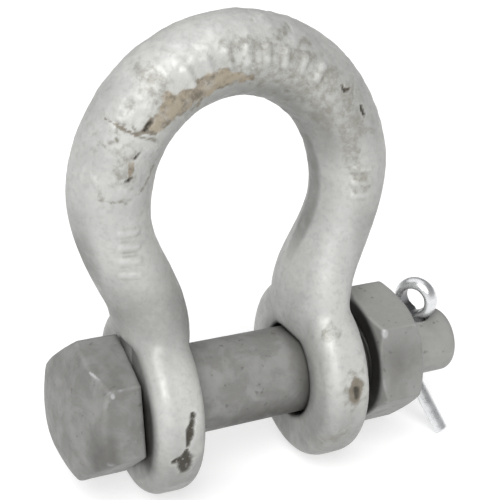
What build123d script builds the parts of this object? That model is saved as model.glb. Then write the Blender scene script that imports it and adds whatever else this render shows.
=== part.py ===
from build123d import *

import os
from math import acos, atan2, cos, degrees, radians, sin, sqrt, tan

# Bow shackle: a forged bow, a hexagon-headed bolt, a nut and a split cotter pin.
# Millimetres. The origin is on the bolt's axis, midway between the two ears.
# +X runs along the bolt towards the nut, +Z points at the crown, Y is across.

# ---------------------------------------------------------------- driving dimensions
shank_dia = 25.0  # the part of the bolt that carries the load, which sets the size class
inside_width = 34.6  # between the ears

# Bow. The centre line runs over the crown, down both sides and through a reverse curve
# into each leg. Its section is round at the crown, and flatter and broader at the legs.
crown_radius = 34.2
crown_rise = 36.0
crown_height = 56.1
reverse_radius = 37.3
leg_inset = 0.4  # the leg's centre line inside the ear's middle
crown_dia = 22.0
side_dia = 21.4
neck_thickness, neck_depth = 20.0, 23.4
knee_thickness, knee_depth = 19.8, 28.0
leg_thickness, leg_depth = 19.2, 31.0
root_thickness, root_depth = 13.0, 30.0
leg_blend = 4.0
ear_dia = 52.0
ear_thickness = 14.0
ear_rounding = 4.4
seat_dia = 42.4  # flat under the bolt's head and under the nut
bore_dia = 26.8

# Bolt
head_gap = 0.6
head_height = 18.4
head_flats = 34.0
head_corner_at = 21.0  # degrees from +Y towards +Z
head_dome_radius = 48.0
head_dome_y, head_dome_z = 8.2, -3.8  # the forging's dome is off the bolt's axis
head_edge = 0.9
head_rim = 1.8  # rounding where the dome meets the flats
shank_spare = 0.4  # full shank past the ear on the nut's side
relief_dia = 21.0
relief_length = 2.4
thread_dia = 24.0  # over the crests
dog_dia = 19.2  # the plain end, which carries the cotter pin
dog_rounding = 2.2
dog_shoulder = 1.2
bolt_end = 70.0

# Nut
nut_gap = 6.4
nut_height = 14.8
nut_flats = 36.0
nut_corner_at = 16.3
nut_face_dia = 34.6
nut_chamfer_angle = 32.0
nut_mouth_dia = 26.4
thread_clearance = 0.06

# Cotter pin: half-round wire folded into an eye, its two legs flat to flat
cotter_x = 60.2
cotter_turn = -57.0  # degrees from +X to the side that the longer leg is bent to
cotter_hole_dia = 6.4
cotter_hole_mouth_dia = 9.8
cotter_hole_mouth_angle = 90.0
wire_radius = 2.8
leg_slit = 0.2
eye_radius = 3.8  # inside the eye
eye_bend_radius = 3.0
leg_bend_radius = 3.6
leg_bend_start = 10.0  # below the bolt's axis
eye_bend_start = 8.6  # above the bolt's axis, in the hole's countersink
long_leg, short_leg = 18.0, 16.4
long_leg_spread, short_leg_spread = 34.0, 24.0

os.makedirs("parts", exist_ok=True)

# ---------------------------------------------------------------- derived dimensions
ear_middle = inside_width / 2 + ear_thickness / 2
ear_face = inside_width / 2 + ear_thickness
leg_middle = ear_middle - leg_inset
reverse_x = leg_middle + reverse_radius
reverse_turn = degrees(acos(reverse_x / (crown_radius + reverse_radius)))
reverse_z = crown_height - (crown_radius + reverse_radius) * sin(radians(reverse_turn))
head_start = -ear_face - head_gap
head_end = head_start - head_height
shank_end = ear_face + shank_spare
thread_start = shank_end + relief_length
nut_start = ear_face + nut_gap
nut_end = nut_start + nut_height
thread_end = nut_end + dog_shoulder
nut_corner_radius = nut_flats / sqrt(3)
nut_bore_radius = thread_dia / 2 + thread_clearance


# ---------------------------------------------------------------- bow
def section_plane(x, z, facing):
    """The plane across the centre line at (x, z), whose outer side faces this far up from +X."""
    along = (sin(radians(facing)), 0, -cos(radians(facing)))
    return Plane(origin=(x, 0, z), x_dir=(0, 1, 0), z_dir=along)


def on_crown(angle):
    """A point of the crown's curve, this many degrees up from the widest point."""
    rise = crown_rise if angle > 0 else crown_radius
    x = crown_radius * cos(radians(angle))
    z = crown_height + rise * sin(radians(angle))
    return x, z, angle


def on_reverse(share):
    """A point of the reverse curve, from 0 at the crown's end to 1 at the leg."""
    angle = 180 - reverse_turn * (1 - share)
    x = reverse_x + reverse_radius * cos(radians(angle))
    z = reverse_z + reverse_radius * sin(radians(angle))
    return x, z, angle - 180


right_half = [
    (on_crown(67.5), crown_dia, crown_dia),
    (on_crown(45), crown_dia, crown_dia),
    (on_crown(22.5), crown_dia, crown_dia),
    (on_crown(0), side_dia, side_dia),
    (on_reverse(0), neck_thickness, neck_depth),
    (on_reverse(0.5), knee_thickness, knee_depth),
    (on_reverse(1), leg_thickness, leg_depth),
    ((ear_middle, reverse_z / 2, 0), ear_thickness, leg_depth),
    ((ear_middle, 0, 0), root_thickness, root_depth),
]
left_half = [((-x, z, 180 - facing), t, d) for (x, z, facing), t, d in reversed(right_half)]
apex = (on_crown(90), crown_dia, crown_dia)

with BuildPart() as bow:
    for start in (inside_width / 2, -ear_face):
        with BuildSketch(Plane.YZ.offset(start)):
            Circle(ear_dia / 2)
        extrude(amount=ear_thickness)
    fillet(bow.edges().filter_by(GeomType.CIRCLE), ear_rounding)
    for (x, z, facing), thickness, depth in left_half + [apex] + right_half:
        with BuildSketch(section_plane(x, z, facing)):
            Ellipse(depth / 2, thickness / 2)
    loft()
    # The short curved edges are where the legs run into the ears
    seams = bow.edges(Select.LAST).filter_by(GeomType.BSPLINE)
    fillet([seam for seam in seams if seam.length < crown_radius], leg_blend)
    for side in (-1, 1):
        with BuildSketch(Plane.YZ.offset(side * ear_face)):
            Circle(seat_dia / 2)
        extrude(amount=side * ear_thickness, mode=Mode.SUBTRACT)
    with BuildSketch(Plane.YZ.offset(-ear_face)):
        Circle(bore_dia / 2)
    extrude(amount=2 * ear_face, mode=Mode.SUBTRACT)
bow.part.label = "bow"

# ---------------------------------------------------------------- bolt
turned_lengths = [
    (head_start, shank_end, shank_dia),
    (shank_end, thread_start, relief_dia),
    (thread_start, thread_end, thread_dia),
    (thread_end, bolt_end, dog_dia),
]

with BuildPart() as bolt:
    with BuildSketch(Plane.YZ.offset(head_start)):
        RegularPolygon(head_flats / 2, 6, major_radius=False, rotation=head_corner_at)
    extrude(amount=-head_height)
    with Locations((head_end + head_dome_radius, head_dome_y, head_dome_z)):
        Sphere(head_dome_radius, mode=Mode.INTERSECT)
    rim = bolt.faces().sort_by(Axis.X)[0].edges()
    fillet(rim, head_rim)
    fillet(bolt.faces().sort_by(Axis.X)[-1].edges(), head_edge)
    for start, end, diameter in turned_lengths:
        with BuildSketch(Plane.YZ.offset(start)):
            Circle(diameter / 2)
        extrude(amount=end - start)
    tip = bolt.faces().sort_by(Axis.X)[-1]
    fillet(tip.edges(), dog_rounding)
    for facing in (1, -1):
        with Locations(Plane(origin=(cotter_x, 0, facing * dog_dia / 2), z_dir=(0, 0, facing))):
            CounterSinkHole(
                cotter_hole_dia / 2, cotter_hole_mouth_dia / 2, dog_dia / 2, cotter_hole_mouth_angle
            )
bolt.part.label = "bolt"

# ---------------------------------------------------------------- nut
with BuildPart() as nut:
    with BuildSketch(Plane.YZ.offset(nut_start)):
        RegularPolygon(nut_flats / 2, 6, major_radius=False, rotation=nut_corner_at)
    extrude(amount=nut_height)
    drop = (nut_corner_radius - nut_face_dia / 2) * tan(radians(nut_chamfer_angle))
    with BuildSketch(Plane.XZ):
        with BuildLine():
            Polyline(
                (nut_start, 0),
                (nut_start, nut_face_dia / 2),
                (nut_start + drop, nut_corner_radius),
                (nut_end - drop, nut_corner_radius),
                (nut_end, nut_face_dia / 2),
                (nut_end, 0),
                close=True,
            )
        make_face()
    revolve(axis=Axis.X, mode=Mode.INTERSECT)
    with BuildSketch(Plane.YZ.offset(nut_start)):
        Circle(nut_bore_radius)
    extrude(amount=nut_height, mode=Mode.SUBTRACT)
    mouths = nut.edges().filter_by(GeomType.CIRCLE).group_by(SortBy.RADIUS)[0]
    chamfer(mouths, nut_mouth_dia / 2 - nut_bore_radius)
nut.part.label = "nut"

# ---------------------------------------------------------------- cotter pin
spread = Vector(cos(radians(cotter_turn)), sin(radians(cotter_turn)), 0)
cotter_plane = Plane(origin=(cotter_x, 0, 0), x_dir=spread, z_dir=spread.cross(Vector(0, 0, 1)))
leg_offset = leg_slit / 2
neck_side = leg_offset + eye_bend_radius
eye_rise = sqrt((eye_radius + eye_bend_radius) ** 2 - neck_side**2)
eye_turn = degrees(atan2(eye_rise, neck_side))


def bent_leg(side, spread_angle, length):
    """One leg below the bolt: a bend and a straight run. side is 1 or -1. Returns the run."""
    bend_x = side * (leg_offset + leg_bend_radius)
    start = 180 if side > 0 else 0
    bend = CenterArc((bend_x, -leg_bend_start), leg_bend_radius, start, side * spread_angle)
    return Line(bend @ 1, bend @ 1 + (bend % 1) * length)


with BuildPart() as cotter_pin:
    with BuildLine(cotter_plane) as wire:
        long_run = bent_leg(1, long_leg_spread, long_leg)
        bent_leg(-1, short_leg_spread, short_leg)
        for side in (-1, 1):
            shank_x = side * leg_offset
            Line((shank_x, -leg_bend_start), (shank_x, eye_bend_start))
            start = 180 if side > 0 else 0
            CenterArc((side * neck_side, eye_bend_start), eye_bend_radius, start, -side * eye_turn)
        CenterArc((0, eye_bend_start + eye_rise), eye_radius, -eye_turn, 180 + 2 * eye_turn)
    up_the_wire = (long_run % 1) * -1
    with BuildSketch(Plane(origin=long_run @ 1, x_dir=cotter_plane.z_dir, z_dir=up_the_wire)):
        with BuildLine():
            round_back = CenterArc((0, 0), wire_radius, 0, 180)
            Line(round_back @ 1, round_back @ 0)
        make_face()
    sweep(path=wire.wire())
cotter_pin.part.label = "cotter_pin"

# ---------------------------------------------------------------- files
for piece in (bow, bolt, nut, cotter_pin):
    export_step(piece.part, f"parts/{piece.part.label}.step")
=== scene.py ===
from itertools import product
from math import cos, pi, radians, sin

import bmesh
import bpy
import numpy as np
from mathutils import Matrix, Vector


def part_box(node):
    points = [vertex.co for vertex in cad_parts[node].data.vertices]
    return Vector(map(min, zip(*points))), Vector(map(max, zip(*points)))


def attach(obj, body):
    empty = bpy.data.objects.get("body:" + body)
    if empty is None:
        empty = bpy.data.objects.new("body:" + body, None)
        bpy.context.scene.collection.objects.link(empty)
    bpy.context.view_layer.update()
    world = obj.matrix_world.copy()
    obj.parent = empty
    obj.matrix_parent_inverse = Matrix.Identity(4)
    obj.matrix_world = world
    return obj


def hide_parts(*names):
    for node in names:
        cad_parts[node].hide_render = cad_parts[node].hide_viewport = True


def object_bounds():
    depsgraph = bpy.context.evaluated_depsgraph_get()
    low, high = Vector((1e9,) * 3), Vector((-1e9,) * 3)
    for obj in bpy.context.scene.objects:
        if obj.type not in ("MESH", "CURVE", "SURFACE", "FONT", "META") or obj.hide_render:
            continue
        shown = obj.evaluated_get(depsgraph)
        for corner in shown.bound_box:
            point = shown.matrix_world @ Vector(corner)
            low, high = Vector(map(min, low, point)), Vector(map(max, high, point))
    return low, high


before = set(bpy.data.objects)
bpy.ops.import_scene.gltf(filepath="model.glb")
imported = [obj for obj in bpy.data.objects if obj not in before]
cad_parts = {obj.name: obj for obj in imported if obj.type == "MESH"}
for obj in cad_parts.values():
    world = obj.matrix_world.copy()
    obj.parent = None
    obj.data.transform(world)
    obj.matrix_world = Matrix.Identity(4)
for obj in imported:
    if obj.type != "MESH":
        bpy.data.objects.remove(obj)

# The looks of a bow shackle: a galvanised forging, a dull bolt and nut, and a bright cotter pin.
# Metres, in the frame of the CAD model: +X along the bolt, +Z to the crown.

cad_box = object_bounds()
MM = 0.001

# Shape of the bow and the threads, as the CAD model has them
CROWN_RADIUS = 34.2 * MM
CROWN_RISE = 36.0 * MM
CROWN_HEIGHT = 56.1 * MM
BAR_RADIUS = 11.0 * MM
BORE_RADIUS = 13.4 * MM
SEAT_RADIUS = 21.2 * MM
EAR_FACE = 31.3 * MM
THREAD_RADIUS = 12.0 * MM
THREAD_START = 34.1 * MM
THREAD_PITCH = 3.0 * MM
THREAD_DEPTH = 1.5 * MM
THREAD_SLOPE = 2.6
THREAD_CREST = 0.15
SHANK_LEFT = 31.9 * MM
EYE_X, EYE_HEIGHT = 60.2 * MM, 14.65 * MM
EYE_RADIUS = 3.8 * MM

NUT_LOW, NUT_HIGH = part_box("nut")
THREAD_END = NUT_HIGH.x + 1.2 * MM

# Distance between the facets of each new mesh
BOW_FACET = 0.55 * MM
BOLT_FACET = 0.36 * MM
WIRE_FACET = 0.24 * MM


# ---------------------------------------------------------------- numbers
def smoothstep(low, high, value):
    """Rises smoothly from 0 at low to 1 at high. With low above high it falls instead."""
    t = np.clip((value - low) / (high - low), 0, 1)
    return t * t * (3 - 2 * t)


def gradient_noise(points, seed):
    """Smooth noise from about -1 to 1, with cells one unit across."""
    rng = np.random.default_rng(seed)
    gradients = rng.normal(size=(256, 3))
    gradients /= np.linalg.norm(gradients, axis=1)[:, None]
    order = rng.permutation(256)
    cell = np.floor(points).astype(int)
    local = points - cell
    fade = local**3 * (local * (local * 6 - 15) + 10)
    total = np.zeros(len(points))
    for corner in product((0, 1), repeat=3):
        c = (cell + corner) & 255
        index = order[(order[(order[c[:, 0]] + c[:, 1]) & 255] + c[:, 2]) & 255]
        reach = np.einsum("ij,ij->i", gradients[index], local - corner)
        share = np.prod(np.where(np.array(corner) == 1, fade, 1 - fade), axis=1)
        total += reach * share
    return total * 1.6


def layered_noise(points, size, seed, layers=3):
    """Noise whose largest lumps are this size across, in metres, with finer ones on them."""
    total = np.zeros(len(points))
    for layer in range(layers):
        total += gradient_noise(points / size * 2**layer, seed + layer) * 0.5**layer
    return total


# ---------------------------------------------------------------- meshes
def fine_copy(node, name, voxel):
    """A new object with the CAD node's shape, in even facets this far apart."""
    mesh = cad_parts[node].data.copy()
    welded = bmesh.new()
    welded.from_mesh(mesh)
    bmesh.ops.remove_doubles(welded, verts=welded.verts, dist=1e-6)
    welded.to_mesh(mesh)
    welded.free()
    mesh.materials.clear()
    piece = bpy.data.objects.new(name, mesh)
    bpy.context.scene.collection.objects.link(piece)
    remesh = piece.modifiers.new("even", "REMESH")
    remesh.mode = "VOXEL"
    remesh.voxel_size = voxel
    depsgraph = bpy.context.evaluated_depsgraph_get()
    even = bpy.data.meshes.new_from_object(piece.evaluated_get(depsgraph))
    piece.modifiers.clear()
    piece.data = even
    even.name = name
    return piece


def read_points(mesh):
    points = np.empty(len(mesh.vertices) * 3, np.float32)
    mesh.vertices.foreach_get("co", points)
    return points.reshape(-1, 3).astype(float)


def read_normals(mesh):
    normals = np.empty(len(mesh.vertices) * 3, np.float32)
    mesh.vertex_normals.foreach_get("vector", normals)
    return normals.reshape(-1, 3).astype(float)


def read_edges(mesh):
    edges = np.empty(len(mesh.edges) * 2, np.int32)
    mesh.edges.foreach_get("vertices", edges)
    return edges.reshape(-1, 2)


def write_points(mesh, points):
    mesh.vertices.foreach_set("co", points.astype(np.float32).ravel())
    mesh.update()


def neighbour_mean(values, edges):
    """Each vertex's mean over its neighbours. values has one row for each vertex."""
    count = np.bincount(edges.ravel(), minlength=len(values))
    mean = np.empty_like(values)
    for k in range(values.shape[1]):
        total = np.bincount(edges[:, 0], values[edges[:, 1], k], len(values))
        total += np.bincount(edges[:, 1], values[edges[:, 0], k], len(values))
        mean[:, k] = total / np.maximum(count, 1)
    return mean


def softened(points, edges, rounds, share=None):
    """Points moved towards their neighbours. share, from 0 to 1 for each vertex, is how far."""
    weight = 0.5 if share is None else 0.5 * share[:, None]
    for _ in range(rounds):
        points = points + weight * (neighbour_mean(points, edges) - points)
    return points


def bulge(points, normals, edges, rounds):
    """How far each vertex stands proud of its surroundings, in metres. Hollows are below 0."""
    around = softened(points, edges, rounds)
    return np.einsum("ij,ij->i", points - around, normals)


def paint(mesh, name, values):
    """Stores one number for each vertex, which a material reads by name."""
    layer = mesh.attributes.new(name, "FLOAT", "POINT")
    layer.data.foreach_set("value", np.asarray(values, np.float32))


def from_axis(points):
    return np.hypot(points[:, 1], points[:, 2])


def finish_piece(piece, node, body, material):
    piece.data.materials.append(material)
    piece.data.shade_smooth()
    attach(piece, body)
    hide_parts(node)


# ---------------------------------------------------------------- bow
def along_bar(points):
    """Where each point is on the bow: its height on the crown's curve, as an angle from the +X
    side in radians, and its angle round the bar from the outer side towards the front."""
    x, y, z = points.T
    along = np.arctan2((z - CROWN_HEIGHT) / CROWN_RISE, x / CROWN_RADIUS)
    rise = np.where(z > CROWN_HEIGHT, CROWN_RISE, CROWN_RADIUS)
    middle_x = CROWN_RADIUS * np.cos(along)
    middle_z = CROWN_HEIGHT + rise * np.sin(along)
    outward = (x - middle_x) * np.cos(along) + (z - middle_z) * np.sin(along)
    around = np.arctan2(-y, outward)
    return along, around


def raised_bar(across, along, half_width, half_length, height, soft):
    """The height of a plain raised bar with rounded ends, at these distances from its middle."""
    past_end = np.maximum(np.abs(along) - half_length, 0)
    distance = np.hypot(across, past_end)
    return height * (1 - smoothstep(half_width - soft, half_width + soft, distance))


# Plain raised bars: a row round the front of the crown, and a few across each leg.
# A size is half width, half length, height and softness of the edge.
CROWN_BARS = 8
CROWN_BAR_SIZE = (0.8 * MM, 2.0 * MM, 0.55 * MM, 0.75 * MM)
CROWN_BAR_FIRST, CROWN_BAR_STEP = radians(118), radians(-8.6)
CROWN_BAR_AROUND = radians(84)
LEG_BAR_SIZE = (0.75 * MM, 2.2 * MM, 0.5 * MM, 0.65 * MM)
LEG_BAR_STEP = 3.7 * MM
LEG_BAR_X = 32.6 * MM
LEFT_LEG_TOP, LEFT_LEG_BARS = 52.0 * MM, 4
RIGHT_LEG_TOP, RIGHT_LEG_BARS = 60.6 * MM, 3


def raised_marks(points):
    along, around = along_bar(points)
    height = np.zeros(len(points))
    front = points[:, 1] < 0
    for k in range(CROWN_BARS):
        across = (along - CROWN_BAR_FIRST - k * CROWN_BAR_STEP) * CROWN_RADIUS
        up = (around - CROWN_BAR_AROUND) * BAR_RADIUS
        height += raised_bar(across, up, *CROWN_BAR_SIZE) * front
    for side, top, count in ((-1, LEFT_LEG_TOP, LEFT_LEG_BARS), (1, RIGHT_LEG_TOP, RIGHT_LEG_BARS)):
        for k in range(count):
            down = points[:, 2] - top + k * LEG_BAR_STEP
            sideways = points[:, 0] - side * LEG_BAR_X
            height += raised_bar(down, sideways, *LEG_BAR_SIZE) * front
    return height


# Stains are streaks. Each runs through these points, in millimetres: place, half width.
# Tan rust over the left of the crown and on the left shoulder
TAN_STREAKS = [
    (((-25, -10.8, 77.5), 2.2), ((-21, -10.8, 82.5), 4.2), ((-15.5, -10.2, 84), 3.8)),
    (((-15.5, -10.2, 84), 3.4), ((-10, -10.2, 87), 3.3), ((-5, -10, 88), 2.4), ((0, -9.8, 87.5), 1.4)),
    (((-31.5, -11, 69), 1.4), ((-32, -10.5, 66), 0.9)),
]
# A brown patch on the right ear, and brown cracks in the zinc
BROWN_STREAKS = [
    (((25.4, -25.3, 5.6), 2.3), ((25.0, -25.8, 2.0), 2.6)),
    (((-36.4, -6.4, 80.0), 0.3), ((-33.6, -9.5, 78.1), 0.42), ((-30.4, -10.8, 76.4), 0.5)),
    (((-30.4, -10.8, 76.4), 0.5), ((-28.6, -11.0, 76.9), 0.6), ((-26.4, -11.0, 79.4), 0.85)),
    (((-28.2, -11.0, 77.2), 0.7), ((-25.3, -10.7, 76.1), 0.6)),
    (((25.2, -10.6, 84.1), 0.3), ((26.1, -10.7, 82.5), 0.5), ((27.8, -10.3, 82.8), 0.45)),
]
# Thin, cloudy dirt
FAINT_STREAKS = [
    (((-4, -10, 95), 3.5), ((6, -10, 95), 4.5), ((15, -10, 91), 4.0)),
    (((-3, -10.5, 90), 4.4), ((8, -10.3, 87.5), 4.8), ((18, -9.8, 81), 4.2), ((24, -9.5, 74), 3.4)),
    (((-23, -10.5, 83), 4.6), ((-16, -9, 83), 4.6)),
    (((20, -11, 86), 4.0), ((28, -11, 80), 5.0), ((32, -10, 72), 4.0)),
    (((22.2, -16, 20.5), 1.0), ((21.0, -17.9, 18.0), 2.6)),
    (((25.7, -25.4, 5.5), 3.6), ((25.0, -25.9, 1.7), 3.8)),
    (((26.1, -10.7, 82.5), 2.0), ((27.8, -10.3, 67), 2.0)),
    (((30, -11, 66), 3.0), ((33, -10, 56), 2.4)),
    (((-33, -10, 71), 3.2), ((-33, -10, 66), 3.0)),
    (((-25.5, -7.9, 90.5), 3.4), ((-24.0, -10.5, 86), 3.6)),
    (((22.9, -24.1, -9.5), 2.2), ((17.9, -19.4, -13.7), 2.0)),
    (((-32, -11, 84), 2.5), ((-28, -12, 86), 2.0)),
]
# Dark pits and cracks, which are sunk into the surface too
DARK_STREAKS = [
    (((-22.0, -25.1, 6.6), 1.0), ((-22.9, -25.8, 2.7), 1.1), ((-23.7, -25.9, -1.4), 0.7)),
    (((-24.0, -25.8, -2.6), 0.8), ((-24.4, -25.4, -5.5), 2.4), ((-23.9, -24.3, -9.3), 1.5)),
    (((25.2, -25.6, 3.8), 1.1), ((25.6, -25.7, 1.6), 0.9)),
    (((-27.4, -25.3, -5.4), 0.6), ((-25.4, -25.5, -5.0), 1.3)),
    (((25.5, -10.7, 83.4), 0.35), ((26.3, -10.7, 82.3), 0.6), ((27.6, -10.3, 82.6), 0.5)),
    (((31.3, -10.4, 78.1), 0.35), ((32.5, -10.3, 75.4), 0.55)),
    (((-28.0, -11, 77.4), 0.5), ((-26.8, -11.0, 79.0), 0.6)),
    (((-30.6, -11, 70.6), 0.4), ((-29.6, -11.2, 71.6), 0.5)),
    (((-33.4, -10.4, 64.8), 0.4), ((-32.0, -11, 65.6), 0.45)),
]
# Steel rubbed bright, along the head's near edge and at the nut's near corner
WORN_STREAKS = [
    (((-43.2, -7.8, 15.1), 0.35), ((-41.2, -11.3, 13.2), 0.5), ((-40.0, -14.2, 11.7), 0.4)),
    (((-39.8, -14.9, 11.3), 0.75), ((-39.7, -15.0, 10.9), 0.75)),
    (((40.0, -15.1, 13.8), 1.3), ((40.3, -16.4, 12.2), 1.0)),
]


def streaked(points, streaks, raggedness, seed):
    """From 0 to 1, how much of a stain lies on each point. The edges are ragged."""
    ragged = layered_noise(points, 3.2 * MM, seed) * raggedness
    amount = np.zeros(len(points))
    for streak in streaks:
        for (start, start_width), (end, end_width) in zip(streak, streak[1:]):
            start, run = np.array(start) * MM, (np.array(end) - start) * MM
            share = np.clip((points - start) @ run / (run @ run), 0, 1)
            distance = np.linalg.norm(points - start - share[:, None] * run, axis=1)
            width = (start_width + share * (end_width - start_width)) * MM
            amount = np.maximum(amount, 1 - smoothstep(0.6, 1.1, distance / width + ragged))
    return amount


def painted_bow_shade(points, around):
    """From 0 to 1, painted shade on the bow, where shade falls: the inner side of the bar, the right of
    the crown, the edges, the lower parts and beside the bores. Each share is one shaded region.
    """
    x, y, z = points.T / MM
    above_ears = smoothstep(30, 45, z)
    towards_right = smoothstep(-25, 5, x)
    over_crown = smoothstep(58, 72, z)
    inside = smoothstep(1.55, 2.4, np.abs(around)) * above_ears
    inside *= (0.3 + 0.5 * towards_right) * (0.2 + 0.8 * over_crown)
    far_inside = smoothstep(2.7, 2.95, np.abs(around)) * above_ears * towards_right
    right = smoothstep(6, 30, x) * smoothstep(52, 70, z) * smoothstep(0.3, 1.2, np.abs(around)) * 0.4
    left_neck = np.exp(-(((z - 30) / 10) ** 2)) * (x < 0) * 0.75
    outer_edge = np.exp(-(((z - 44) / 12) ** 2)) * smoothstep(1.0, 0.4, np.abs(around))
    low = smoothstep(8, -13, z) * 0.8
    right_leg = np.exp(-(((z - 45) / 10) ** 2)) * smoothstep(28.5, 33, x) * 0.55
    beside_bore = smoothstep(20, 14, from_axis(points) / MM) * (np.abs(x) < 25) * smoothstep(17, 8, z)
    inner_side = smoothstep(-20.5, -18.5, x) * (x < 0) * smoothstep(10, -4, z) * 0.6
    shares = [inside, far_inside, right, left_neck, outer_edge, low, right_leg, beside_bore, inner_side]
    return np.maximum.reduce(shares)


FLAKE_MIDDLE = np.array((-33, -9, 69)) * MM
FLAKE_RADIUS = 8.5 * MM


def make_bow():
    bow = fine_copy("bow", "bow_forging", BOW_FACET)
    mesh = bow.data
    edges = read_edges(mesh)
    points = read_points(mesh)
    points = softened(points, edges, 6, smoothstep(15 * MM, 24 * MM, from_axis(points)))
    points = softened(points, edges, 2)
    write_points(mesh, points)
    normals = read_normals(mesh)

    # The bores and the seats under the head and the nut are machined, and stay true
    off_axis = from_axis(points)
    in_bore = 1 - smoothstep(BORE_RADIUS + 0.2 * MM, BORE_RADIUS + 1.6 * MM, off_axis)
    at_seat = smoothstep(EAR_FACE - 0.6 * MM, EAR_FACE - 0.2 * MM, np.abs(points[:, 0]))
    at_seat *= 1 - smoothstep(SEAT_RADIUS, SEAT_RADIUS + 1.5 * MM, off_axis)
    rough = (1 - in_bore) * (1 - 0.85 * at_seat)

    # The zinc lies in lumps, thickest and roughest over the crown
    height = points[:, 2]
    crown = smoothstep(45 * MM, 75 * MM, height)
    lumps = layered_noise(points, 9 * MM, 11) * 0.11 * MM * (0.5 + 0.6 * crown)
    grains = layered_noise(points, 2.6 * MM, 21, 2) * 0.1 * MM * (0.35 + crown)
    pit_field = gradient_noise(points / (3.4 * MM), 31)
    pits = smoothstep(0.45, 0.85, pit_field) * (0.2 + 0.8 * crown)

    # A flake of zinc has come away on the left shoulder, and left a low step
    shoulder = np.linalg.norm((points - FLAKE_MIDDLE) / FLAKE_RADIUS, axis=1)
    flake_field = shoulder + layered_noise(points, 6 * MM, 41) * 0.3
    flake = 1 - smoothstep(0.93, 1.05, flake_field)
    crease = np.exp(-(((flake_field - 0.98) / 0.05) ** 2))

    marks = raised_marks(points)
    around = along_bar(points)[1]
    dark = streaked(points, DARK_STREAKS, 0.4, 61)
    brown = streaked(points, BROWN_STREAKS, 0.35, 81)

    # Painted shade beside the seats, where the head and the nut sit against the ears; it thins out above
    # and below them
    beside_seat = smoothstep(26 * MM, 31 * MM, np.abs(points[:, 0]))
    beside_seat *= 1 - smoothstep(SEAT_RADIUS - 1.5 * MM, SEAT_RADIUS + 3 * MM, off_axis)
    above = smoothstep(6 * MM, 15 * MM, height)
    beside_seat *= 1 - above * np.where(points[:, 1] > -6 * MM, 0.8, 0.35)
    beside_seat *= smoothstep(-16 * MM, -9 * MM, height)

    move = lumps + grains - 0.28 * MM * pits - 0.2 * MM * flake - 0.35 * MM * dark - 0.1 * MM * brown
    move = (move - 0.22 * MM) * rough + marks * rough
    points = points + normals * move[:, None]
    write_points(mesh, points)

    normals = read_normals(mesh)
    proud = bulge(points, normals, edges, 6)
    paint(mesh, "tan", streaked(points, TAN_STREAKS, 0.5, 51))
    paint(mesh, "faint", streaked(points, FAINT_STREAKS, 0.8, 71))
    paint(mesh, "brown", brown)
    paint(mesh, "dark", dark)
    # Painted shade on the inner side, the right, the edges and the lower parts of the bow
    paint(mesh, "painted_shade", painted_bow_shade(points, around))
    # Painted shade in the bores and beside the seats
    paint(mesh, "grease_and_shade", np.maximum(in_bore, beside_seat))
    paint(mesh, "hollow", smoothstep(0.02 * MM, 0.11 * MM, -proud))
    paint(mesh, "proud", smoothstep(0.02 * MM, 0.12 * MM, proud))
    paint(mesh, "crease", crease)
    paint(mesh, "crown", crown)
    return bow


# ---------------------------------------------------------------- bolt and nut
def thread_groove(points):
    """From 0 on the crest to 1 at the root, for a right-hand thread about the X axis. Both are
    flat."""
    turn = np.arctan2(points[:, 2], points[:, 1]) / (2 * pi)
    phase = (points[:, 0] / THREAD_PITCH - turn) % 1
    return np.clip((0.5 - np.abs(phase - 0.5)) * THREAD_SLOPE - THREAD_CREST, 0, 1)


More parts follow.
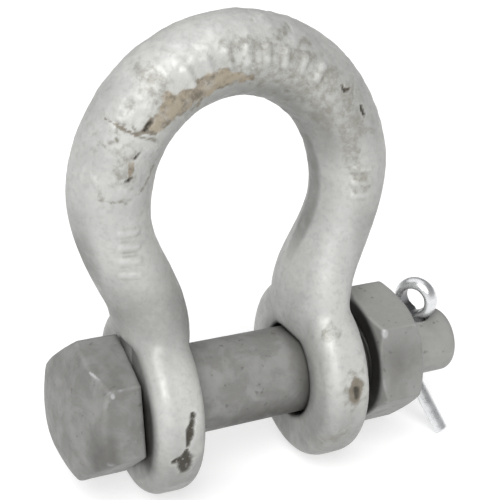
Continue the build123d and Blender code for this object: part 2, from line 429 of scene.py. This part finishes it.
def make_bolt():
    bolt = fine_copy("bolt", "bolt_forged", BOLT_FACET)
    mesh = bolt.data
    edges = read_edges(mesh)
    points = read_points(mesh)
    head = 1 - smoothstep(-SHANK_LEFT - 0.5 * MM, -SHANK_LEFT, points[:, 0])
    points = softened(points, edges, 5, 0.2 + 0.8 * head)
    write_points(mesh, points)
    normals = read_normals(mesh)

    x = points[:, 0]
    off_axis = from_axis(points)
    threaded = smoothstep(THREAD_START, THREAD_START + 1.2 * MM, x)
    threaded *= 1 - smoothstep(THREAD_END - 1.5 * MM, THREAD_END, x)
    threaded *= off_axis > THREAD_RADIUS - 0.6 * MM
    radial = points * (0, 1, 1) / np.maximum(off_axis, 1e-9)[:, None]
    groove = thread_groove(points) * threaded
    points = points - radial * (groove * THREAD_DEPTH)[:, None]

    lumps = layered_noise(points, 7 * MM, 111) * 0.09 * MM
    dents = smoothstep(0.5, 0.9, gradient_noise(points / (3 * MM), 121)) * 0.1 * MM
    wrought = head * (lumps - dents - 0.06 * MM)
    tool_marks = (gradient_noise(points / (2.2 * MM), 131) * 0.02 - 0.03) * MM
    plain = (1 - head) * (1 - threaded) * tool_marks
    points = points + normals * (wrought + plain)[:, None]
    write_points(mesh, points)

    proud = bulge(points, read_normals(mesh), edges, 8)
    paint(mesh, "proud", smoothstep(0.03 * MM, 0.14 * MM, proud))
    paint(mesh, "hollow", smoothstep(0.02 * MM, 0.12 * MM, -proud))
    # Painted shade, with grease, on the thread in the gap between the right ear and the nut
    gap_shade_and_grease = smoothstep(EAR_FACE - 1 * MM, EAR_FACE, x) * (1 - smoothstep(NUT_LOW.x, NUT_LOW.x + MM, x))
    paint(mesh, "grease_and_shade", gap_shade_and_grease)

    # Painted shade under the shank, at and inside the right ear, and below the head's near corner
    below = smoothstep(1 * MM, -8 * MM, points[:, 2])
    under = below * smoothstep(-18 * MM, 3 * MM, x)
    in_ear = smoothstep(11 * MM, 18.5 * MM, x)
    by_corner = smoothstep(-10 * MM, -15 * MM, points[:, 1]) * smoothstep(6 * MM, -2 * MM, points[:, 2])
    by_corner *= smoothstep(-38.5 * MM, -41 * MM, x) * 0.6
    under = np.maximum.reduce([under, in_ear, by_corner])
    paint(mesh, "under", under * (1 - smoothstep(EAR_FACE, NUT_HIGH.x, x)))
    paint(mesh, "pale", 0.7 * smoothstep(NUT_HIGH.x - MM, NUT_HIGH.x, x))
    paint(mesh, "worn", streaked(points, WORN_STREAKS, 0.3, 141) * 0.8)
    return bolt


NUT_STAIN = np.array((43.5, -18.5, 6)) * MM
NUT_STAIN_RADIUS = 5.5 * MM


def make_nut():
    nut = fine_copy("nut", "nut_forged", BOLT_FACET)
    mesh = nut.data
    edges = read_edges(mesh)
    points = read_points(mesh)
    off_axis = from_axis(points)
    outside = smoothstep(THREAD_RADIUS + 1.4 * MM, THREAD_RADIUS + 2.2 * MM, off_axis)
    points = softened(points, edges, 6, outside)
    write_points(mesh, points)
    normals = read_normals(mesh)

    in_bore = off_axis < THREAD_RADIUS + 0.4 * MM
    radial = points * (0, 1, 1) / np.maximum(off_axis, 1e-9)[:, None]
    points = points + radial * (thread_groove(points) * in_bore * THREAD_DEPTH)[:, None]
    lumps = layered_noise(points, 6 * MM, 211) * 0.05 * MM
    points = points + normals * ((lumps - 0.05 * MM) * outside)[:, None]
    write_points(mesh, points)

    proud = bulge(points, read_normals(mesh), edges, 8)
    paint(mesh, "proud", smoothstep(0.03 * MM, 0.14 * MM, proud) * outside)
    paint(mesh, "hollow", smoothstep(0.02 * MM, 0.12 * MM, -proud))
    # Painted shade, with grease, on the nut's face towards the ear
    face = 1 - smoothstep(NUT_LOW.x + 0.5 * MM, NUT_LOW.x + 1.3 * MM, points[:, 0])
    paint(mesh, "grease_and_shade", face * (1 - smoothstep(17.0 * MM, 18.8 * MM, off_axis)))
    from_stain = np.linalg.norm(points - NUT_STAIN, axis=1) / NUT_STAIN_RADIUS
    paint(mesh, "under", np.exp(-(from_stain**2)) * 0.55)
    # Painted light: the nut's upward faces are paler, over a paler nut
    lit_upper_faces = smoothstep(0.3, 0.7, normals[:, 2])
    paint(mesh, "pale", outside * (0.25 + 0.6 * lit_upper_faces))
    paint(mesh, "worn", streaked(points, WORN_STREAKS, 0.3, 221) * 0.7)
    return nut


def make_cotter():
    cotter = fine_copy("cotter_pin", "cotter_wire", WIRE_FACET)
    mesh = cotter.data
    edges = read_edges(mesh)
    points = softened(read_points(mesh), edges, 6)
    write_points(mesh, points)
    normals = read_normals(mesh)
    drawn = (layered_noise(points, 4 * MM, 311, 2) - 0.6) * 0.015 * MM
    points = points + normals * drawn[:, None]
    write_points(mesh, points)
    proud = bulge(points, read_normals(mesh), edges, 6)
    paint(mesh, "hollow", smoothstep(0.01 * MM, 0.08 * MM, -proud))

    # Dark inside the eye, on the legs' far edge, and where the eye closes
    off_eye = np.hypot(np.hypot(points[:, 0] - EYE_X, points[:, 1]), points[:, 2] - EYE_HEIGHT)
    in_eye = 1 - smoothstep(EYE_RADIUS + 0.5 * MM, EYE_RADIUS + 1.7 * MM, off_eye)
    far_edge = smoothstep(0.35, 0.85, normals @ (0.9, 0.35, -0.25)) * (points[:, 2] < 0)
    at_mouth = 0.8 * np.exp(-(((points[:, 2] - EYE_HEIGHT + 5.2 * MM) / (1.7 * MM)) ** 2))
    paint(mesh, "shade", np.maximum.reduce([in_eye, far_edge, at_mouth]))
    return cotter


# ---------------------------------------------------------------- materials
class Nodes:
    """A material's node tree, with short calls for the nodes that these materials share."""

    def __init__(self, name):
        self.material = bpy.data.materials.new(name)
        self.material.use_nodes = True
        self.tree = self.material.node_tree
        self.shader = self.tree.nodes["Principled BSDF"]
        coordinates = self.tree.nodes.new("ShaderNodeTexCoord")
        self.place = coordinates.outputs["Object"]

    def link(self, source, socket):
        self.tree.links.new(source, socket)

    def set(self, socket, value):
        if isinstance(value, bpy.types.NodeSocket):
            self.link(value, socket)
        elif isinstance(value, tuple):
            socket.default_value = (*value, 1)
        else:
            socket.default_value = value

    def noise(self, size, detail=3.0, roughness=0.55, distortion=0.0):
        """Noise from 0 to 1, with lumps this many metres across."""
        node = self.tree.nodes.new("ShaderNodeTexNoise")
        self.link(self.place, node.inputs["Vector"])
        node.inputs["Scale"].default_value = 1 / size
        node.inputs["Detail"].default_value = detail
        node.inputs["Roughness"].default_value = roughness
        node.inputs["Distortion"].default_value = distortion
        return node.outputs["Fac"]

    def painted(self, name):
        node = self.tree.nodes.new("ShaderNodeAttribute")
        node.attribute_name = name
        return node.outputs["Fac"]

    def ramp(self, value, low, high, to_low=0.0, to_high=1.0):
        node = self.tree.nodes.new("ShaderNodeMapRange")
        node.interpolation_type = "SMOOTHSTEP"
        self.set(node.inputs["Value"], value)
        node.inputs["From Min"].default_value = low
        node.inputs["From Max"].default_value = high
        node.inputs["To Min"].default_value = to_low
        node.inputs["To Max"].default_value = to_high
        return node.outputs["Result"]

    def math(self, operation, a, b=0.0):
        node = self.tree.nodes.new("ShaderNodeMath")
        node.operation = operation
        self.set(node.inputs[0], a)
        self.set(node.inputs[1], b)
        return node.outputs[0]

    def mix(self, share, a, b):
        node = self.tree.nodes.new("ShaderNodeMix")
        node.data_type = "RGBA"
        self.set(node.inputs["Factor"], share)
        self.set(node.inputs["A"], a)
        self.set(node.inputs["B"], b)
        return node.outputs["Result"]

    def bump(self, height, strength, distance, over=None):
        node = self.tree.nodes.new("ShaderNodeBump")
        node.inputs["Strength"].default_value = strength
        node.inputs["Distance"].default_value = distance
        self.link(height, node.inputs["Height"])
        if over is not None:
            self.link(over, node.inputs["Normal"])
        return node.outputs["Normal"]

    def surface(self, colour, roughness, metallic, normal):
        self.set(self.shader.inputs["Base Color"], colour)
        self.set(self.shader.inputs["Roughness"], roughness)
        self.set(self.shader.inputs["Metallic"], metallic)
        self.link(normal, self.shader.inputs["Normal"])


# Linear colours
PALE_ZINC = (0.50, 0.502, 0.482)
GREY_ZINC = (0.42, 0.422, 0.41)
BRIGHT_ZINC = (0.58, 0.58, 0.565)
# Dull zinc, also used for painted shade on the bow
DULL_AND_SHADED_ZINC = (0.215, 0.215, 0.205)
DIRT = (0.20, 0.19, 0.155)
TAN_RUST = (0.33, 0.28, 0.205)
BROWN_RUST = (0.16, 0.135, 0.10)
DARK_PIT = (0.045, 0.04, 0.03)
# Near black, for grease and painted shade in the gaps and bores
GREASE_AND_SHADE = (0.03, 0.029, 0.026)


def galvanised():
    n = Nodes("galvanised_bow")
    colour = n.mix(n.ramp(n.noise(14 * MM), 0.3, 0.7), GREY_ZINC, PALE_ZINC)
    bloom = n.ramp(n.noise(6 * MM, 5, 0.6, 0.3), 0.45, 0.75)
    colour = n.mix(n.math("MULTIPLY", bloom, 0.4), colour, BRIGHT_ZINC)
    # Painted shade: darker zinc over the bow's shaded regions
    painted_shade_share = n.math("MULTIPLY", n.painted("painted_shade"), n.ramp(n.noise(5 * MM, 4, 0.6), 0.2, 0.6, 0.65, 1))
    colour = n.mix(painted_shade_share, colour, DULL_AND_SHADED_ZINC)
    mottle = n.ramp(n.noise(1.5 * MM, 4, 0.65), 0.45, 0.7)
    colour = n.mix(n.math("MULTIPLY", mottle, 0.22), colour, DULL_AND_SHADED_ZINC)
    cloud = n.ramp(n.noise(2.6 * MM, 5, 0.7), 0.35, 0.65)
    faint = n.math("MULTIPLY", n.painted("faint"), cloud)
    colour = n.mix(n.math("MULTIPLY", faint, 0.7), colour, DIRT)
    grime = n.math("MULTIPLY", n.painted("hollow"), n.ramp(n.noise(4 * MM), 0.3, 0.65))
    colour = n.mix(n.math("MULTIPLY", grime, 0.6), colour, DIRT)
    colour = n.mix(n.math("MULTIPLY", n.painted("proud"), 0.25), colour, BRIGHT_ZINC)
    blotch = n.noise(3 * MM, 5, 0.65)
    rust = n.mix(n.ramp(blotch, 0.42, 0.66), TAN_RUST, BROWN_RUST)
    spread = n.math("ADD", n.painted("tan"), n.ramp(n.noise(2.4 * MM, 5, 0.7), 0.2, 0.8, -0.5, 0.3))
    colour = n.mix(n.ramp(spread, 0.1, 1.0, 0, 0.92), colour, rust)
    crease = n.math("MULTIPLY", n.painted("crease"), n.ramp(n.noise(3 * MM), 0.42, 0.6))
    colour = n.mix(crease, colour, DIRT)
    colour = n.mix(n.ramp(n.painted("brown"), 0, 1, 0, 0.85), colour, BROWN_RUST)
    pitted = n.math("MULTIPLY", n.painted("dark"), n.ramp(n.noise(1.1 * MM, 3, 0.6), 0.32, 0.45, 0.45, 1))
    colour = n.mix(pitted, colour, DARK_PIT)
    # Painted shade in the bores and beside the seats
    colour = n.mix(n.painted("grease_and_shade"), colour, GREASE_AND_SHADE)

    roughness = n.ramp(n.noise(3 * MM, 4), 0.3, 0.7, 0.46, 0.64)
    fine = n.bump(n.noise(0.8 * MM, 3, 0.5), 0.3, 0.1 * MM)
    relief = n.math("MULTIPLY", n.noise(2.0 * MM, 4, 0.6), n.ramp(n.painted("crown"), 0, 1, 0.5, 1.3))
    normal = n.bump(relief, 0.4, 0.3 * MM, fine)
    n.surface(colour, roughness, 0.25, normal)
    return n.material


STEEL = (0.245, 0.245, 0.237)
DULL_STEEL = (0.19, 0.189, 0.18)
# Paler steel, also used for painted light on the nut's upward faces
PALE_AND_LIT_STEEL = (0.315, 0.315, 0.30)
WORN_STEEL = (0.46, 0.46, 0.47)
# Grime, also used for painted shade under the shank and beside the ears
STEEL_GRIME_AND_SHADE = (0.075, 0.073, 0.066)


def dull_steel(name, worn):
    """worn, from 0 to 1, is how bright the proud edges are rubbed."""
    n = Nodes(name)
    colour = n.mix(n.ramp(n.noise(7 * MM, 5, 0.6, 0.4), 0.38, 0.62), DULL_STEEL, STEEL)
    # Paler steel on the thread's end, and painted light on the nut's upward faces
    colour = n.mix(n.painted("pale"), colour, PALE_AND_LIT_STEEL)
    fleck = n.ramp(n.noise(1.3 * MM, 4, 0.7), 0.6, 0.75)
    colour = n.mix(n.math("MULTIPLY", fleck, 0.2), colour, WORN_STEEL)
    speck = n.ramp(n.noise(2.2 * MM, 2, 0.5), 0.66, 0.74)
    colour = n.mix(n.math("MULTIPLY", speck, 0.45), colour, STEEL_GRIME_AND_SHADE)
    grime = n.math("MULTIPLY", n.painted("hollow"), 0.6)
    colour = n.mix(grime, colour, STEEL_GRIME_AND_SHADE)
    # Painted shade under the shank and by the ears, and a stain on the nut
    colour = n.mix(n.math("MULTIPLY", n.painted("under"), 0.95), colour, STEEL_GRIME_AND_SHADE)
    rubbed = n.math("MULTIPLY", n.painted("proud"), n.ramp(n.noise(4 * MM, 4), 0.45, 0.7))
    colour = n.mix(n.math("MULTIPLY", rubbed, worn), colour, WORN_STEEL)
    colour = n.mix(n.painted("worn"), colour, WORN_STEEL)
    # Painted shade, with grease, in the gap between the right ear and the nut
    colour = n.mix(n.painted("grease_and_shade"), colour, GREASE_AND_SHADE)
    roughness = n.ramp(n.noise(2.5 * MM, 4), 0.3, 0.7, 0.5, 0.68)
    fine = n.bump(n.noise(0.6 * MM, 4, 0.6), 0.25, 0.08 * MM)
    normal = n.bump(n.noise(3 * MM, 3), 0.3, 0.3 * MM, fine)
    n.surface(colour, roughness, 0.3, normal)
    return n.material


BRIGHT_WIRE = (0.72, 0.73, 0.74)
WIRE_SHADE = (0.42, 0.43, 0.45)
WIRE_DARK = (0.07, 0.07, 0.075)


def bright_wire():
    n = Nodes("cotter_wire")
    drawn = n.noise(1.8 * MM, 3, 0.5, 0.3)
    colour = n.mix(n.ramp(drawn, 0.5, 0.8, 0, 0.25), BRIGHT_WIRE, WIRE_SHADE)
    colour = n.mix(n.math("MULTIPLY", n.painted("hollow"), 0.5), colour, WIRE_SHADE)
    colour = n.mix(n.math("MULTIPLY", n.painted("shade"), 0.85), colour, WIRE_DARK)
    roughness = n.ramp(n.noise(2 * MM, 3), 0.3, 0.7, 0.24, 0.36)
    normal = n.bump(n.noise(1.2 * MM, 3), 0.08, 0.05 * MM)
    n.surface(colour, roughness, 0.75, normal)
    return n.material


# ---------------------------------------------------------------- stage
def aim(thing, eye, target, roll=0.0):
    """Puts a camera or a light at eye, looking at target, turned by roll about its own line."""
    turn = (Vector(target) - Vector(eye)).to_track_quat("-Z", "Y").to_matrix().to_4x4()
    thing.matrix_world = Matrix.Translation(eye) @ turn @ Matrix.Rotation(roll, 4, "Z")


def make_camera():
    azimuth, elevation = radians(-25.64), radians(20.86)
    target = Vector((5.1, 0, 38.3)) * MM
    distance = 292.4 * MM
    roll = radians(0.88)
    back = Vector((sin(azimuth) * cos(elevation), -cos(azimuth) * cos(elevation), sin(elevation)))
    camera = bpy.data.objects.new("camera", bpy.data.cameras.new("camera"))
    camera.data.lens = 77.96
    camera.data.sensor_width = 36
    camera.data.clip_start = 0.01
    bpy.context.scene.collection.objects.link(camera)
    aim(camera, target + back * distance, target, roll)
    bpy.context.scene.camera = camera


def far_light(name, direction, spread, power):
    """A wide, even light from this direction, as from a large softbox."""
    light = bpy.data.objects.new(name, bpy.data.lights.new(name, "SUN"))
    light.data.angle = radians(spread)
    light.data.energy = power
    bpy.context.scene.collection.objects.link(light)
    aim(light, Vector(direction), (0, 0, 0))


def make_lights():
    """Two soft lights, a pale backdrop round the horizon, and little light from overhead."""
    far_light("key", (-0.40, -0.75, 0.85), spread=40, power=3.25)
    far_light("top", (-0.1, 0.3, 1.0), spread=70, power=1.1)
    world = bpy.data.worlds.new("studio")
    world.use_nodes = True
    tree = world.node_tree
    direction = tree.nodes.new("ShaderNodeTexCoord").outputs["Generated"]
    axes = tree.nodes.new("ShaderNodeSeparateXYZ")
    tree.links.new(direction, axes.inputs["Vector"])
    backdrop = tree.nodes.new("ShaderNodeMapRange")
    backdrop.inputs["From Min"].default_value = 0.1
    backdrop.inputs["From Max"].default_value = 0.28
    backdrop.inputs["To Min"].default_value = 0.72
    backdrop.inputs["To Max"].default_value = 0.05
    tree.links.new(axes.outputs["Z"], backdrop.inputs["Value"])
    tree.nodes["Background"].inputs["Color"].default_value = (1, 1, 1, 1)
    tree.links.new(backdrop.outputs["Result"], tree.nodes["Background"].inputs["Strength"])
    bpy.context.scene.world = world
    bpy.context.scene.view_settings.view_transform = "Standard"


def make_floor():
    """A pale translucent table top, lit from below, so that shadows on it are faint."""
    sheet = bmesh.new()
    bmesh.ops.create_grid(sheet, x_segments=8, y_segments=8, size=12)
    mesh = bpy.data.meshes.new("floor")
    sheet.to_mesh(mesh)
    sheet.free()
    floor = bpy.data.objects.new("floor", mesh)
    floor.location.z = cad_box[0].z - 0.1 * MM
    bpy.context.scene.collection.objects.link(floor)
    n = Nodes("pale_floor")
    pale = n.mix(n.noise(0.2), (0.44, 0.44, 0.44), (0.46, 0.46, 0.46))
    n.surface(pale, 0.9, 0.0, n.bump(n.noise(0.01), 0.02, 0.1 * MM))
    n.shader.inputs["Emission Color"].default_value = (1, 1, 1, 1)
    n.shader.inputs["Emission Strength"].default_value = 0.62
    mesh.materials.append(n.material)


# ---------------------------------------------------------------- the whole
make_camera()
make_lights()
make_floor()
finish_piece(make_bow(), "bow", "bow", galvanised())
finish_piece(make_bolt(), "bolt", "bolt", dull_steel("bolt_steel", worn=0.9))
finish_piece(make_nut(), "nut", "nut", dull_steel("nut_steel", worn=0.6))
finish_piece(make_cotter(), "cotter_pin", "cotter", bright_wire())
